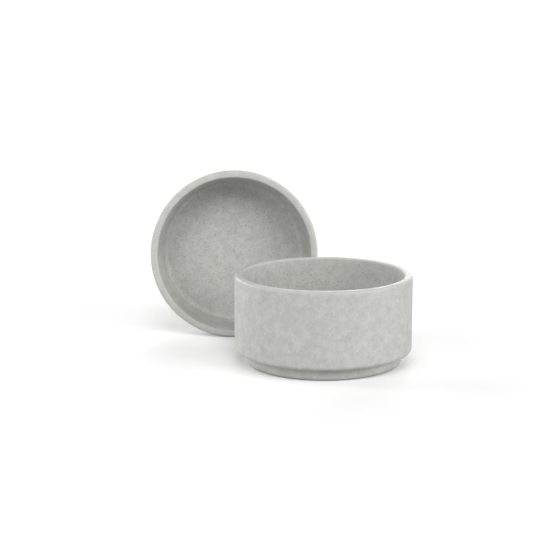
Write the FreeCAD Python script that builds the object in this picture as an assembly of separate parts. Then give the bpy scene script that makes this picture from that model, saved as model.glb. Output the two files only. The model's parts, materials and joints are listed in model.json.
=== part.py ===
import FreeCAD, Part

import math
import os

# A stacking set of two round salon dishes, cast in a speckled stone-grey ceramic body.
#   deep_dish     the upright dish that holds the liquid or powder
#   shallow_dish  its low companion, stood on its side behind it with its hollow forward
# Both share one outside diameter, lip and stepped foot, so that either foot drops into
# either mouth and the shoulder above it rests on the other dish's rim. The deep dish is
# straight-sided. The shallow dish's side leans in towards its foot, so that it lies on the
# ground along a line from its lip to its shoulder and shows a little of its mouth upwards.
#
# Frame, millimetres: the origin is the centre of the deep dish's underside, +Z is up and
# +Y points to the back, where the shallow dish stands.

# Shared driving dimensions
OUTER_RADIUS = 30.0
MOUTH_RADIUS = 27.3
FOOT_RADIUS = 26.2
FOOT_HEIGHT = 4.3
FLOOR_ABOVE_SHOULDER = 1.1
SHOULDER_ROUND = 1.5
FOOT_ROUND = 1.5
FOOT_NOTCH_ROUND = 0.4
RECESS_RADIUS = 21.5
RECESS_DEPTH = 0.8
RECESS_ROUND = 0.4
LIP_OUTER_ROUND = 1.0

# Deep dish: total height, lean of its outside, rounding inside the lip, straight band below
# it, taper of the hollow's wall and rounding between wall and floor
DEEP_HEIGHT = 30.6
DEEP_SIDE_LEAN = 0.0
DEEP_LIP_INNER_ROUND = 0.7
DEEP_MOUTH_BAND = 5.0
DEEP_WALL_TAPER = 2.0
DEEP_FLOOR_ROUND = 4.6

# Shallow dish: the same list
SHALLOW_HEIGHT = 18.9
SHALLOW_SIDE_LEAN = 5.0
SHALLOW_LIP_INNER_ROUND = 0.7
SHALLOW_MOUTH_BAND = 1.5
SHALLOW_WALL_TAPER = 12.0
SHALLOW_FLOOR_ROUND = 2.0

# Where the shallow dish lies: its rim centre beside and behind the deep dish's axis, and
# the turn of its mouth towards +X, in degrees
RIM_CENTRE_X = -30.7
RIM_CENTRE_Y = 37.2
TURN = 2.6


def rounded_corner(before, corner, after, radius):
    """Both ends and the middle of the arc that rounds one corner of an outline."""
    to_before = (before - corner).normalize()
    to_after = (after - corner).normalize()
    half_angle = to_before.getAngle(to_after) / 2
    reach = radius / math.tan(half_angle)
    bisector = (to_before + to_after).normalize()
    centre = corner + bisector * (radius / math.sin(half_angle))
    middle = centre - bisector * radius
    return corner + to_before * reach, middle, corner + to_after * reach


def outline_edges(corners):
    """Straight edges and corner arcs of a closed outline of (radius, height, rounding)."""
    points = [FreeCAD.Vector(r, 0, z) for r, z, _ in corners]
    count = len(corners)
    stretches = []
    for i, (_, _, rounding) in enumerate(corners):
        if rounding:
            arc = rounded_corner(points[i - 1], points[i], points[(i + 1) % count], rounding)
            stretches.append(arc)
        else:
            stretches.append((points[i],))
    edges = []
    for i, stretch in enumerate(stretches):
        if len(stretch) == 3:
            edges.append(Part.Arc(*stretch).toShape())
        edges.append(Part.makeLine(stretch[-1], stretches[(i + 1) % count][0]))
    return edges


def dish(height, side_lean, lip_inner_round, mouth_band, wall_taper, floor_round):
    """One dish standing on its foot at the origin, turned about +Z."""
    floor = FOOT_HEIGHT + FLOOR_ABOVE_SHOULDER
    side_run = (height - FOOT_HEIGHT) * math.tan(math.radians(side_lean))
    band_bottom = height - lip_inner_round - mouth_band
    taper_run = (band_bottom - floor) * math.tan(math.radians(wall_taper))
    corners = [
        (0, RECESS_DEPTH, 0),
        (RECESS_RADIUS, RECESS_DEPTH, RECESS_ROUND),
        (RECESS_RADIUS + RECESS_DEPTH, 0, RECESS_ROUND),
        (FOOT_RADIUS, 0, FOOT_ROUND),
        (FOOT_RADIUS, FOOT_HEIGHT, FOOT_NOTCH_ROUND),
        (OUTER_RADIUS - side_run, FOOT_HEIGHT, SHOULDER_ROUND),
        (OUTER_RADIUS, height, LIP_OUTER_ROUND),
        (MOUTH_RADIUS, height, lip_inner_round),
        (MOUTH_RADIUS, band_bottom, 0),
        (MOUTH_RADIUS - taper_run, floor, floor_round),
        (0, floor, 0),
    ]
    wire = Part.Wire(Part.__sortEdges__(outline_edges(corners)))
    return Part.Face(wire).revolve(FreeCAD.Vector(0, 0, 0), FreeCAD.Vector(0, 0, 1), 360)


def lying_placement(height, side_lean):
    """Lays a dish on its side: mouth forward, its leaning side flat along the ground."""
    lean = math.radians(side_lean)
    mouth_way = FreeCAD.Vector(0, -math.cos(lean), math.sin(lean))
    turn = FreeCAD.Rotation(FreeCAD.Vector(0, 0, 1), TURN)
    tip = FreeCAD.Rotation(FreeCAD.Vector(1, 0, 0), 90 - side_lean)
    rim_centre = FreeCAD.Vector(RIM_CENTRE_X, RIM_CENTRE_Y, OUTER_RADIUS * math.cos(lean))
    base_centre = rim_centre - turn.multVec(mouth_way) * height
    return FreeCAD.Placement(base_centre, turn * tip)


deep_dish = dish(
    DEEP_HEIGHT,
    DEEP_SIDE_LEAN,
    DEEP_LIP_INNER_ROUND,
    DEEP_MOUTH_BAND,
    DEEP_WALL_TAPER,
    DEEP_FLOOR_ROUND,
)
shallow_dish = dish(
    SHALLOW_HEIGHT,
    SHALLOW_SIDE_LEAN,
    SHALLOW_LIP_INNER_ROUND,
    SHALLOW_MOUTH_BAND,
    SHALLOW_WALL_TAPER,
    SHALLOW_FLOOR_ROUND,
)
shallow_dish.Placement = lying_placement(SHALLOW_HEIGHT, SHALLOW_SIDE_LEAN)

os.makedirs("parts", exist_ok=True)
deep_dish.exportStep("parts/deep_dish.step")
shallow_dish.exportStep("parts/shallow_dish.step")
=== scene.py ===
import json
import math
import random

import bpy
from mathutils import Matrix, Vector, noise


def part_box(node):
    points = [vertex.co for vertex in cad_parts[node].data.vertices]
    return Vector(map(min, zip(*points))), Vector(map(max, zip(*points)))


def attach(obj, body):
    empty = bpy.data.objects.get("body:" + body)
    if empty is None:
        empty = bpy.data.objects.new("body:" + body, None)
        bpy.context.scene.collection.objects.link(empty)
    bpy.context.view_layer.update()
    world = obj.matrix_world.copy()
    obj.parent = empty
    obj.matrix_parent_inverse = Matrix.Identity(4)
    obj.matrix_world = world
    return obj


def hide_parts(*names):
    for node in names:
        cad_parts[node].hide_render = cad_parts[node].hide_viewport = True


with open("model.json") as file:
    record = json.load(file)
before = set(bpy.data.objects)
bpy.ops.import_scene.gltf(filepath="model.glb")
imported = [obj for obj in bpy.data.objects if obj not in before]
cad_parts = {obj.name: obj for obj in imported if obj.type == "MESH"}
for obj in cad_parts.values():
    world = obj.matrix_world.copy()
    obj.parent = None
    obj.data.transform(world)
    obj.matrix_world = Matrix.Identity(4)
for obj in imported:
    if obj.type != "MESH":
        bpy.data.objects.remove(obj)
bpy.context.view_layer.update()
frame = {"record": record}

MM = 0.001

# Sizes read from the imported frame, in millimetres
MOUNTS = {m["name"]: m for m in frame["record"]["mounts"]}
DEEP_LOW, DEEP_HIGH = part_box("deep_dish")
OUTER_RADIUS = (DEEP_HIGH.x - DEEP_LOW.x) / 2 / MM
DEEP_HEIGHT = DEEP_HIGH.z / MM
MOUTH_RADIUS = MOUNTS["deep_mouth"]["dims"]["r_mm"]
FOOT_RADIUS = MOUNTS["deep_foot"]["dims"]["r_mm"]
DEEP_MOUTH_BAND = MOUNTS["deep_mouth"]["dims"]["length_mm"]
SHALLOW_MOUTH_BAND = MOUNTS["shallow_mouth"]["dims"]["length_mm"]
SHALLOW_BASE = Vector(MOUNTS["shallow_base"]["pos_m"])
SHALLOW_AXIS = -Vector(MOUNTS["shallow_base"]["axis"])
SHALLOW_MOUTH_MIDDLE = Vector(MOUNTS["shallow_mouth"]["pos_m"])

# Shape details that the frame does not list, in millimetres and degrees
FOOT_HEIGHT = 4.3
FLOOR_LEVEL = 5.4
SHOULDER_ROUND = 1.5
FOOT_ROUND = 1.5
NOTCH_ROUND = 0.4
LIP_OUTER_ROUND = 1.0
RECESS_RADIUS = 21.5
RECESS_DEPTH = 0.8
RECESS_ROUND = 0.4
DEEP_SIDE_LEAN = 0.0
DEEP_LIP_INNER_ROUND = 0.7
DEEP_WALL_TAPER = 2.0
DEEP_FLOOR_ROUND = 4.6
SHALLOW_LIP_INNER_ROUND = 0.7
SHALLOW_WALL_TAPER = 12.0
SHALLOW_FLOOR_ROUND = 2.0

# The shallow dish's full height, from its underside to its rim
SHALLOW_HEIGHT = (
    (SHALLOW_MOUTH_MIDDLE - SHALLOW_BASE).length / MM
    + SHALLOW_MOUTH_BAND / 2
    + SHALLOW_LIP_INNER_ROUND
)

# The shallow dish lies on its leaning side, so its axis rises by the same angle
SHALLOW_SIDE_LEAN = math.degrees(math.asin(SHALLOW_AXIS.z))

# How finely the turned surfaces are divided: steps around, and step lengths in millimetres
SEGMENTS = 480
ARC_STEP = 0.16
STRAIGHT_STEP = 1.0

# Hand-finish unevenness and small dents, in millimetres. A dent reaches at most NICK_REACH
# of the mesh's columns to either side
SLOW_WOBBLE = 0.05
SLOW_WOBBLE_SIZE = 22.0
FINE_WOBBLE = 0.012
FINE_WOBBLE_SIZE = 3.0
NICKS = 46
NICK_RADIUS = (0.25, 0.6)
NICK_DEPTH = (0.04, 0.16)
NICK_REACH = 4

# Shift through the noise, in its own units, that makes the two dishes' unevenness differ
WOBBLE_DRIFT = (91.7, 37.3, 53.9)

# How far below the rim the painted lip highlight fades out, inside and outside, in
# millimetres
LIP_HIGHLIGHT_FADE_INSIDE = 4.5
LIP_HIGHLIGHT_FADE_OUTSIDE = 1.2

# Stone-grey body: colours, among them the painted lip highlight, and sizes of its markings
# in millimetres
STONE_DARK = (0.410, 0.415, 0.390)
STONE_PALE = (0.492, 0.498, 0.471)
BLUSH = (0.466, 0.446, 0.428)
PEPPER = (0.20, 0.20, 0.18)
SPECK = (0.14, 0.14, 0.125)
FLECK = (0.70, 0.70, 0.66)
# Painted highlight: paler colour at the rim that stands in for light on the lip and the top
# of the inner wall
PAINTED_LIP_HIGHLIGHT = (0.565, 0.570, 0.54)
BARE_UNDERSIDE = (0.51, 0.505, 0.47)
CLOUD_SIZE = 3.0
BLUSH_SIZE = 2.2
PEPPER_SIZE = 0.62
SPECK_SPACING = 1.3
FLECK_SPACING = 1.7
GRAIN_SIZE = 0.45
GRAIN_DEPTH = 0.05

# How strongly each marking covers the body at its strongest; the hollow's extra pepper is
# partly painted shade, and the lip share is a painted highlight
BLUSH_SHARE = 0.65
PEPPER_SHARE_OUTSIDE = 0.22
# Denser dark pepper in the hollow: real speckle plus painted shade inside the dish
PEPPER_AND_PAINTED_SHADE_SHARE_HOLLOW = 0.50
SPECK_SHARE = 0.28
FLECK_SHARE = 0.25
# Painted highlight along the rim, fading down the inner wall
PAINTED_LIP_HIGHLIGHT_SHARE = 0.32
BARE_SHARE = 0.45

# Broad far-away lights: name, azimuth from the front towards +X, elevation and width in
# degrees, and strength
LIGHTS = (
    ("overhead", 30, 64, 50, 0.3),
    ("front_high", 0, 48, 34, 1.2),
    ("front_right", 52, 26, 34, 1.4),
    ("front_left", -43, 22, 36, 1.05),
    ("right_low", 95, 9, 34, 1.3),
    ("left", -104, 20, 24, 1.1),
    ("back_low", 170, 14, 36, 2.0),
    ("back_left_low", -143, 9, 34, 2.4),
)

# How bright the surround and the floor look to the camera, how much light they give the
# dishes, and the floor's width in metres
SURROUND_SEEN = 1.0
SURROUND = 0.0
FLOOR_SEEN = 0.98
FLOOR_WHITE = 0.7
FLOOR_WIDTH = 20.0

# Camera: lens in millimetres, place in dish diameters, and tilt below level in degrees
CAMERA_LENS = 119.7
CAMERA_PLACE = Vector((-0.32, -9.74, 2.52))
CAMERA_TILT = 11.44


def rounded_outline(corners):
    """Points along an outline of (radius, height, rounding), ends left as they are."""
    points = []
    for i, (r, z, rounding) in enumerate(corners):
        corner = Vector((r, z))
        if not rounding:
            points.append(corner)
            continue
        to_before = (Vector(corners[i - 1][:2]) - corner).normalized()
        to_after = (Vector(corners[i + 1][:2]) - corner).normalized()
        half_angle = to_before.angle(to_after) / 2
        bisector = (to_before + to_after).normalized()
        centre = corner + bisector * (rounding / math.sin(half_angle))
        start = corner + to_before * (rounding / math.tan(half_angle)) - centre
        end = corner + to_after * (rounding / math.tan(half_angle)) - centre
        sweep = start.angle_signed(end)
        steps = max(3, round(abs(sweep) * rounding / ARC_STEP))
        for k in range(steps + 1):
            points.append(centre + Matrix.Rotation(-sweep * k / steps, 2) @ start)
    return points


def divided(points):
    """The same outline with its long straight stretches cut into steps."""
    fine = [points[0]]
    for before, after in zip(points, points[1:]):
        length = (after - before).length
        steps = max(1, round(length / STRAIGHT_STEP)) if length > 2 * ARC_STEP else 1
        for k in range(steps):
            fine.append(before.lerp(after, (k + 1) / steps))
    return fine


def dish_outline(height, side_lean, lip_inner_round, mouth_band, wall_taper, floor_round):
    """Outline of one dish from the middle of its underside to the middle of its floor."""
    side_run = (height - FOOT_HEIGHT) * math.tan(math.radians(side_lean))
    band_bottom = height - lip_inner_round - mouth_band
    taper_run = (band_bottom - FLOOR_LEVEL) * math.tan(math.radians(wall_taper))
    return divided(
        rounded_outline(
            [
                (0, RECESS_DEPTH, 0),
                (RECESS_RADIUS, RECESS_DEPTH, RECESS_ROUND),
                (RECESS_RADIUS + RECESS_DEPTH, 0, RECESS_ROUND),
                (FOOT_RADIUS, 0, FOOT_ROUND),
                (FOOT_RADIUS, FOOT_HEIGHT, NOTCH_ROUND),
                (OUTER_RADIUS - side_run, FOOT_HEIGHT, SHOULDER_ROUND),
                (OUTER_RADIUS, height, LIP_OUTER_ROUND),
                (MOUTH_RADIUS, height, lip_inner_round),
                (MOUTH_RADIUS, band_bottom, 0),
                (MOUTH_RADIUS - taper_run, FLOOR_LEVEL, floor_round),
                (0, FLOOR_LEVEL, 0),
            ]
        )
    )


def nicks_near_edges(height, side_lean, rng):
    """Small dents a cast dish picks up: mostly along its lip, a few on its side."""
    nicks = []
    for _ in range(NICKS):
        kind = rng.choice(("lip_outside", "lip_inside", "side"))
        if kind == "lip_outside":
            r, z = OUTER_RADIUS, height - rng.uniform(0.1, 0.9)
        elif kind == "lip_inside":
            r, z = MOUTH_RADIUS, height - rng.uniform(0.0, 0.6)
        else:
            z = rng.uniform(FOOT_HEIGHT + 0.4, height - LIP_OUTER_ROUND)
            r = OUTER_RADIUS - (height - z) * math.tan(math.radians(side_lean))
        angle = rng.uniform(0, math.tau)
        place = Vector((r * math.cos(angle), r * math.sin(angle), z))
        nicks.append((place, rng.uniform(*NICK_RADIUS), rng.uniform(*NICK_DEPTH)))
    return nicks


def zone_weights(outline):
    """Weights along an outline: in the hollow (denser pepper there, partly painted shade),
    on the bare underside, and near the lip (for the painted lip highlight).
    """
    height = max(p.y for p in outline)
    last_on_rim = max(i for i, p in enumerate(outline) if p.y > height - 1e-6)
    hollow = []
    bare = []
    lip = []
    for i, p in enumerate(outline):
        inside = i > last_on_rim
        under = not inside and (p.y < 0.3 * FOOT_ROUND or p.x < FOOT_RADIUS - FOOT_ROUND)
        # The lip weight carries the painted highlight, fading from the rim further down the
        # inside than the outside
        fade = LIP_HIGHLIGHT_FADE_INSIDE if inside else LIP_HIGHLIGHT_FADE_OUTSIDE
        # The hollow weight also sets the denser pepper that is partly painted shade inside
        # the dish
        hollow.append(min(1.0, height - p.y) if inside else 0.0)
        bare.append(1.0 if under else 0.0)
        lip.append(max(0.0, 1 - (height - p.y) / fade))
    return hollow, bare, lip


def turned_mesh(name, outline, nicks, seed):
    """A body turned from an outline about +Z, uneven by a few hundredths of a millimetre."""
    inner = outline[1:-1]
    drift = Vector([seed * step for step in WOBBLE_DRIFT])
    verts = [Vector((0, 0, outline[0].y))]
    normals = []
    for i, p in enumerate(inner, start=1):
        along = (outline[i + 1] - outline[i - 1]).normalized()
        normals.append(Vector((along.y, -along.x)))
    rows = len(inner)
    for k in range(SEGMENTS):
        turn = math.tau * k / SEGMENTS
        c, s = math.cos(turn), math.sin(turn)
        for p, n in zip(inner, normals):
            place = Vector((p.x * c, p.x * s, p.y))
            out = Vector((n.x * c, n.x * s, n.y))
            slow = noise.noise(place / SLOW_WOBBLE_SIZE + drift)
            fine = noise.noise(place / FINE_WOBBLE_SIZE + drift)
            verts.append(place + out * (slow * SLOW_WOBBLE + fine * FINE_WOBBLE))
    verts.append(Vector((0, 0, outline[-1].y)))
    for centre, radius, depth in nicks:
        inward = Vector((centre.x, centre.y, 0)).normalized()
        k0 = round(math.atan2(centre.y, centre.x) / math.tau * SEGMENTS)
        for k in range(k0 - NICK_REACH, k0 + NICK_REACH + 1):
            first = 1 + (k % SEGMENTS) * rows
            for i in range(first, first + rows):
                gap = (verts[i] - centre).length / radius
                if gap < 1:
                    verts[i] -= inward * depth * (1 - gap * gap) ** 2
    last = len(verts) - 1
    faces = []
    for k in range(SEGMENTS):
        a = 1 + k * rows
        b = 1 + (k + 1) % SEGMENTS * rows
        faces.append((0, b, a))
        for i in range(rows - 1):
            faces.append((a + i, b + i, b + i + 1, a + i + 1))
        faces.append((a + rows - 1, b + rows - 1, last))
    mesh = bpy.data.meshes.new(name)
    mesh.from_pydata([v * MM for v in verts], [], faces)
    mesh.validate()
    for polygon in mesh.polygons:
        polygon.use_smooth = True
    for zone, weights in zip(("hollow", "bare", "lip"), zone_weights(outline)):
        values = weights[:1] + weights[1:-1] * SEGMENTS + weights[-1:]
        mesh.attributes.new(zone, "FLOAT", "POINT").data.foreach_set("value", values)
    return mesh


def lying_matrix():
    """From a dish on its foot at the origin to the shallow dish's place in the frame."""
    side = Vector((0, 0, 1)).cross(SHALLOW_AXIS).normalized()
    up = SHALLOW_AXIS.cross(side)
    turn = Matrix((side, up, SHALLOW_AXIS)).transposed()
    return Matrix.Translation(SHALLOW_BASE) @ turn.to_4x4()


def add_dish(name, node, outline, nicks, matrix, seed, material):
    """One finished dish, standing for its CAD node and riding on that node's body."""
    mesh = turned_mesh(name, outline, nicks, seed)
    mesh.transform(matrix)
    mesh.materials.append(material)
    dish = bpy.data.objects.new(name, mesh)
    bpy.context.scene.collection.objects.link(dish)
    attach(dish, node)
    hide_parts(node)


class Nodes:
    """Short calls for building a material's node tree."""

    def __init__(self, tree):
        self.tree = tree
        tree.nodes.clear()

    def add(self, kind, **settings):
        node = self.tree.nodes.new(kind)
        for key, value in settings.items():
            setattr(node, key, value)
        return node

    def link(self, source, target):
        self.tree.links.new(source, target)

    def noise(self, vector, size_mm, detail, roughness):
        node = self.add("ShaderNodeTexNoise")
        self.link(vector, node.inputs["Vector"])
        node.inputs["Scale"].default_value = 1 / size_mm
        node.inputs["Detail"].default_value = detail
        node.inputs["Roughness"].default_value = roughness
        return node.outputs["Fac"]

    def spots(self, vector, size_mm):
        node = self.add("ShaderNodeTexVoronoi")
        self.link(vector, node.inputs["Vector"])
        node.inputs["Scale"].default_value = 1 / size_mm
        return node

    def ramp(self, value, low, high, out_low=0.0, out_high=1.0):
        node = self.add("ShaderNodeMapRange", interpolation_type="SMOOTHSTEP")
        self.link(value, node.inputs["Value"])
        node.inputs["From Min"].default_value = low
        node.inputs["From Max"].default_value = high
        node.inputs["To Min"].default_value = out_low
        node.inputs["To Max"].default_value = out_high
        return node.outputs["Result"]

    def zone(self, name):
        """The mesh's own weight for one of its zones."""
        return self.add("ShaderNodeAttribute", attribute_name=name).outputs["Fac"]

    def shifted(self, vector, distance):
        node = self.add("ShaderNodeVectorMath", operation="ADD")
        self.link(vector, node.inputs[0])
        node.inputs[1].default_value = (distance, -distance, distance)
        return node.outputs["Vector"]

    def seen_or_bounced(self, seen, bounced):
        """One value for what the camera sees directly, another for light that bounces."""
        path = self.add("ShaderNodeLightPath")
        return self.ramp(path.outputs["Is Camera Ray"], 0.0, 1.0, bounced, seen)

    def math(self, operation, a, b):
        node = self.add("ShaderNodeMath", operation=operation)
        for value, socket in zip((a, b), node.inputs):
            if isinstance(value, (int, float)):
                socket.default_value = value
            else:
                self.link(value, socket)
        return node.outputs["Value"]

    def mix(self, factor, a, b):
        node = self.add("ShaderNodeMix", data_type="RGBA")
        for value, socket in ((factor, "Factor"), (a, "A"), (b, "B")):
            found = [s for s in node.inputs if s.name == socket and s.enabled][0]
            if isinstance(value, (int, float)):
                found.default_value = value
            elif isinstance(value, tuple):
                found.default_value = (*value, 1.0)
            else:
                self.link(value, found)
        return [s for s in node.outputs if s.enabled][0]


def stone_grey(name, drift):
    """Satin-matt cast body: cloudy grey, peppered, with denser pepper as partly painted
    shade in the hollow, a painted highlight paler at the lip, and bare underneath.
    """
    material = bpy.data.materials.new(name)
    material.use_nodes = True
    n = Nodes(material.node_tree)
    coords = n.add("ShaderNodeTexCoord")
    mapping = n.add("ShaderNodeMapping")
    mapping.inputs["Location"].default_value = (drift, drift * 0.7, drift * 1.3)
    mapping.inputs["Scale"].default_value = (1 / MM, 1 / MM, 1 / MM)
    n.link(coords.outputs["Object"], mapping.inputs["Vector"])
    place = mapping.outputs["Vector"]
    hollow = n.zone("hollow")
    bare = n.zone("bare")
    lip = n.zone("lip")

    clouds = n.ramp(n.noise(place, CLOUD_SIZE, 4.0, 0.65), 0.30, 0.70)
    colour = n.mix(clouds, STONE_DARK, STONE_PALE)
    blush = n.ramp(n.noise(n.shifted(place, 17.0), BLUSH_SIZE, 2.0, 0.5), 0.52, 0.68)
    colour = n.mix(n.math("MULTIPLY", blush, BLUSH_SHARE), colour, BLUSH)

    pepper = n.ramp(n.noise(n.shifted(place, 31.0), PEPPER_SIZE, 1.5, 0.5), 0.54, 0.74)
    # Denser dark pepper in the hollow: real speckle plus painted shade
    pepper_and_shade_share = n.ramp(hollow, 0.0, 1.0, PEPPER_SHARE_OUTSIDE, PEPPER_AND_PAINTED_SHADE_SHARE_HOLLOW)
    colour = n.mix(n.math("MULTIPLY", pepper, pepper_and_shade_share), colour, PEPPER)

    specks = n.spots(place, SPECK_SPACING)
    near = n.ramp(specks.outputs["Distance"], 0.08, 0.22, 1.0, 0.0)
    chosen = n.add("ShaderNodeSeparateColor")
    n.link(specks.outputs["Color"], chosen.inputs["Color"])
    dark = n.math("MULTIPLY", near, n.ramp(chosen.outputs["Red"], 0.45, 1.0))
    colour = n.mix(n.math("MULTIPLY", dark, SPECK_SHARE), colour, SPECK)

    flecks = n.spots(n.shifted(place, 7.0), FLECK_SPACING)
    pale = n.ramp(flecks.outputs["Distance"], 0.08, 0.20, 1.0, 0.0)
    colour = n.mix(n.math("MULTIPLY", pale, FLECK_SHARE), colour, FLECK)
    # Painted highlight: paler at the rim, fading down the inner wall
    colour = n.mix(n.math("MULTIPLY", lip, PAINTED_LIP_HIGHLIGHT_SHARE), colour, PAINTED_LIP_HIGHLIGHT)
    colour = n.mix(n.math("MULTIPLY", bare, BARE_SHARE), colour, BARE_UNDERSIDE)

    shader = n.add("ShaderNodeBsdfPrincipled")
    n.link(colour, shader.inputs["Base Color"])
    satin = n.ramp(clouds, 0.0, 1.0, 0.60, 0.52)
    n.link(n.math("ADD", satin, n.math("MULTIPLY", bare, 0.3)), shader.inputs["Roughness"])
    shader.inputs["Specular IOR Level"].default_value = 0.38
    bump = n.add("ShaderNodeBump")
    bump.inputs["Strength"].default_value = 0.35
    bump.inputs["Distance"].default_value = GRAIN_DEPTH * MM
    grain = n.noise(place, GRAIN_SIZE, 3.0, 0.6)
    n.link(n.math("SUBTRACT", grain, n.math("MULTIPLY", dark, 0.8)), bump.inputs["Height"])
    n.link(bump.outputs["Normal"], shader.inputs["Normal"])
    output = n.add("ShaderNodeOutputMaterial")
    n.link(shader.outputs["BSDF"], output.inputs["Surface"])
    return material


def pale_floor():
    """Matt white, exposed to clear white where no shadow falls on it."""
    material = bpy.data.materials.new("pale_floor")
    material.use_nodes = True
    n = Nodes(material.node_tree)
    shader = n.add("ShaderNodeBsdfDiffuse")
    n.link(n.seen_or_bounced(FLOOR_SEEN, FLOOR_WHITE), shader.inputs["Color"])
    output = n.add("ShaderNodeOutputMaterial")
    n.link(shader.outputs["BSDF"], output.inputs["Surface"])
    return material


def add_floor():
    half = FLOOR_WIDTH / 2
    mesh = bpy.data.meshes.new("floor")
    corners = [(-half, -half, 0), (half, -half, 0), (half, half, 0), (-half, half, 0)]
    mesh.from_pydata(corners, [], [(0, 1, 2, 3)])
    mesh.materials.append(pale_floor())
    floor = bpy.data.objects.new("floor", mesh)
    bpy.context.scene.collection.objects.link(floor)


def add_lights():
    """Broad lights from every side, as inside a white light tent, and a white surround."""
    world = bpy.data.worlds.new("studio")
    bpy.context.scene.world = world
    world.use_nodes = True
    n = Nodes(world.node_tree)
    background = n.add("ShaderNodeBackground")
    background.inputs["Color"].default_value = (1, 1, 1, 1)
    n.link(n.seen_or_bounced(SURROUND_SEEN, SURROUND), background.inputs["Strength"])
    output = n.add("ShaderNodeOutputWorld")
    n.link(background.outputs["Background"], output.inputs["Surface"])
    for name, azimuth, elevation, width, strength in LIGHTS:
        light = bpy.data.lights.new(name, "SUN")
        light.energy = strength
        light.angle = math.radians(width)
        lamp = bpy.data.objects.new(name, light)
        bpy.context.scene.collection.objects.link(lamp)
        turn = math.radians(azimuth)
        tilt = math.radians(90 - elevation)
        lamp.rotation_euler = (tilt, 0, turn)


def add_camera():
    """Looks at the pair from the front and a little above, through a long lens."""
    data = bpy.data.cameras.new("camera")
    data.lens = CAMERA_LENS
    data.sensor_width = 36.0
    data.clip_start = 0.01
    camera = bpy.data.objects.new("camera", data)
    bpy.context.scene.collection.objects.link(camera)
    camera.location = CAMERA_PLACE * 2 * OUTER_RADIUS * MM
    camera.rotation_euler = (math.radians(90 - CAMERA_TILT), 0, 0)
    bpy.context.scene.camera = camera


bpy.context.scene.view_settings.view_transform = "Standard"
add_floor()
add_lights()
add_camera()
add_dish(
    "deep_dish_finish",
    "deep_dish",
    dish_outline(
        DEEP_HEIGHT,
        DEEP_SIDE_LEAN,
        DEEP_LIP_INNER_ROUND,
        DEEP_MOUTH_BAND,
        DEEP_WALL_TAPER,
        DEEP_FLOOR_ROUND,
    ),
    nicks_near_edges(DEEP_HEIGHT, DEEP_SIDE_LEAN, random.Random(1)),
    Matrix.Identity(4),
    1,
    stone_grey("deep_dish_stone", 0.0),
)
add_dish(
    "shallow_dish_finish",
    "shallow_dish",
    dish_outline(
        SHALLOW_HEIGHT,
        SHALLOW_SIDE_LEAN,
        SHALLOW_LIP_INNER_ROUND,
        SHALLOW_MOUTH_BAND,
        SHALLOW_WALL_TAPER,
        SHALLOW_FLOOR_ROUND,
    ),
    nicks_near_edges(SHALLOW_HEIGHT, SHALLOW_SIDE_LEAN, random.Random(2)),
    lying_matrix(),
    2,
    stone_grey("shallow_dish_stone", 40.0),
)
